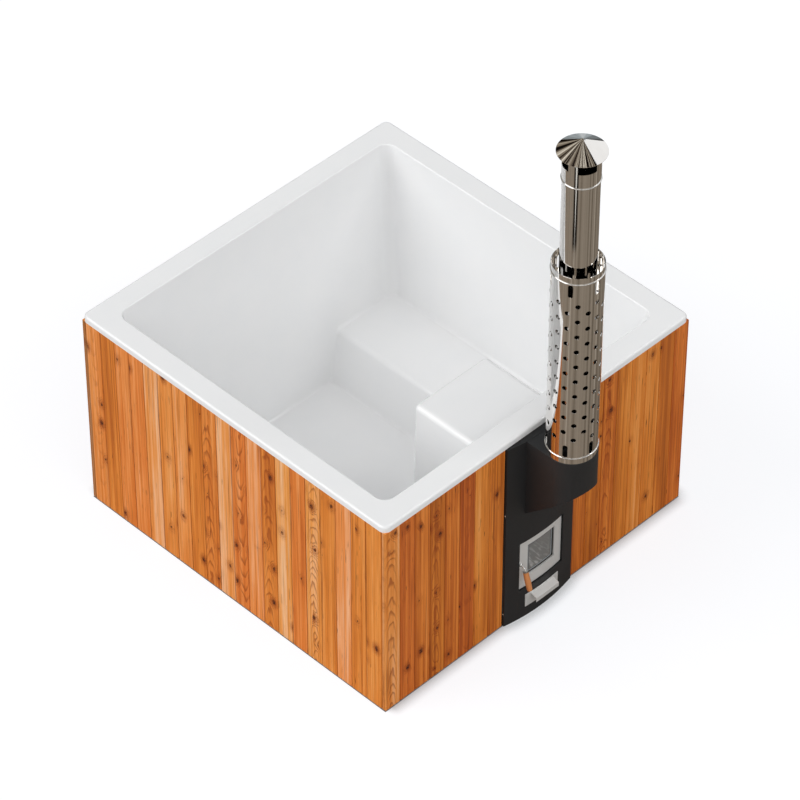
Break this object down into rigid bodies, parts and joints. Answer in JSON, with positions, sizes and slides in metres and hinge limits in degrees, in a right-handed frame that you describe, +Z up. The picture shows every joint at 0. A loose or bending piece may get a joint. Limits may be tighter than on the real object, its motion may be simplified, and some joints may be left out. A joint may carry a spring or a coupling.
{
  "type": "wood-burning hot tub",
  "caption": "Square timber-clad hot tub with a white moulded shell, side benches and a built-in wood stove with door, ash drawer and guarded chimney.",
  "frame": {"origin": "on the ground under the middle of the square tub, on the underside of the middle bearer", "axes": "+Z up, -Y out of the stove's face, +X to the right of someone who stands in front of that face, on the door's hinge side"},
  "size_m": [1.7, 2.0625, 2.517],
  "materials": {
    "white_gelcoat": "glossy moulded",
    "cladding_wood": "oiled knotty softwood",
    "frame_timber": "sawn",
    "black_steel": "satin heat-proof paint",
    "stove_steel": "dull heat-proof paint",
    "cast_iron": "raw casting",
    "polished_stainless": "mirror polished",
    "satin_stainless": "satin brushed",
    "stove_glass": "clear ceramic glass",
    "seal_rope": "woven glass rope",
    "grip_wood": "turned and oiled",
    "zinc_steel": "zinc plated",
    "pipe_plastic": "moulded",
    "pipe_steel": "drawn tube",
    "valve_brass": "cast and turned",
    "lever_enamel": "gloss enamel"
  },
  "bodies": {
    "tub": {"tub_shell": "white_gelcoat", "cladding_front_left": "cladding_wood", "cladding_front_right": "cladding_wood", "cladding_left": "cladding_wood", "cladding_right": "cladding_wood", "cladding_back": "cladding_wood", "base_bearers": "frame_timber", "base_deck_boards": "frame_timber", "bottom_rails": "frame_timber", "middle_rails": "frame_timber", "top_rails": "frame_timber", "frame_posts": "frame_timber", "front_panel": "black_steel", "panel_top_plate": "black_steel", "panel_brackets": "black_steel", "flue_box": "black_steel", "flue_socket": "black_steel", "door_surround": "black_steel", "drawer_guide": "black_steel", "stove_base_plate": "stove_steel", "stove_front_plate": "stove_steel", "firebox": "stove_steel", "water_jacket": "stove_steel", "door_throat": "stove_steel", "flue_throat": "stove_steel", "smoke_baffle": "stove_steel", "fire_grate": "cast_iron", "flue_pipe": "polished_stainless", "heat_guard": "polished_stainless", "guard_bottom_ring": "polished_stainless", "guard_top_ring": "polished_stainless", "cap_collar": "polished_stainless", "rain_cone": "polished_stainless", "drain_strainer": "satin_stainless", "panel_screws": "zinc_steel", "drain_pipe": "pipe_plastic", "drain_backnut": "pipe_plastic", "water_pipe_grilles": "pipe_plastic", "water_pipes": "pipe_steel", "drain_valve_body": "valve_brass"},
    "door": {"door_frame": "satin_stainless", "door_glass": "stove_glass", "glass_gaskets": "seal_rope", "glass_retainer": "stove_steel", "retainer_screws": "zinc_steel", "door_seal": "seal_rope", "hinge_pins": "zinc_steel"},
    "handle": {"handle_rod": "satin_stainless", "grip_ferrule": "zinc_steel", "handle_grip": "grip_wood", "latch_cam": "satin_stainless"},
    "ash_drawer": {"ash_tray": "stove_steel", "drawer_front": "satin_stainless", "drawer_pull": "satin_stainless"},
    "drain_lever": {"drain_valve_lever": "lever_enamel", "drain_valve_ball": "valve_brass"}
  },
  "joints": [
    {"name": "door_hinge", "type": "hinge", "parent": "tub", "child": "door", "pos_m": [0.112, -0.85651, 0.294], "axis": [0, 0, 1], "range_deg": [0, 95]},
    {"name": "handle_turn", "type": "hinge", "parent": "door", "child": "handle", "pos_m": [-0.112, -0.87, 0.302], "axis": [0, -1, 0], "range_deg": [0, 85]},
    {"name": "ash_drawer_slide", "type": "slide", "parent": "tub", "child": "ash_drawer", "axis": [0, -1, 0], "range_m": [0, 0.36]},
    {"name": "drain_valve_turn", "type": "hinge", "parent": "tub", "child": "drain_lever", "pos_m": [-0.17, 0.888, 0.065], "axis": [0, 0, 1], "range_deg": [0, 90]}
  ]
}
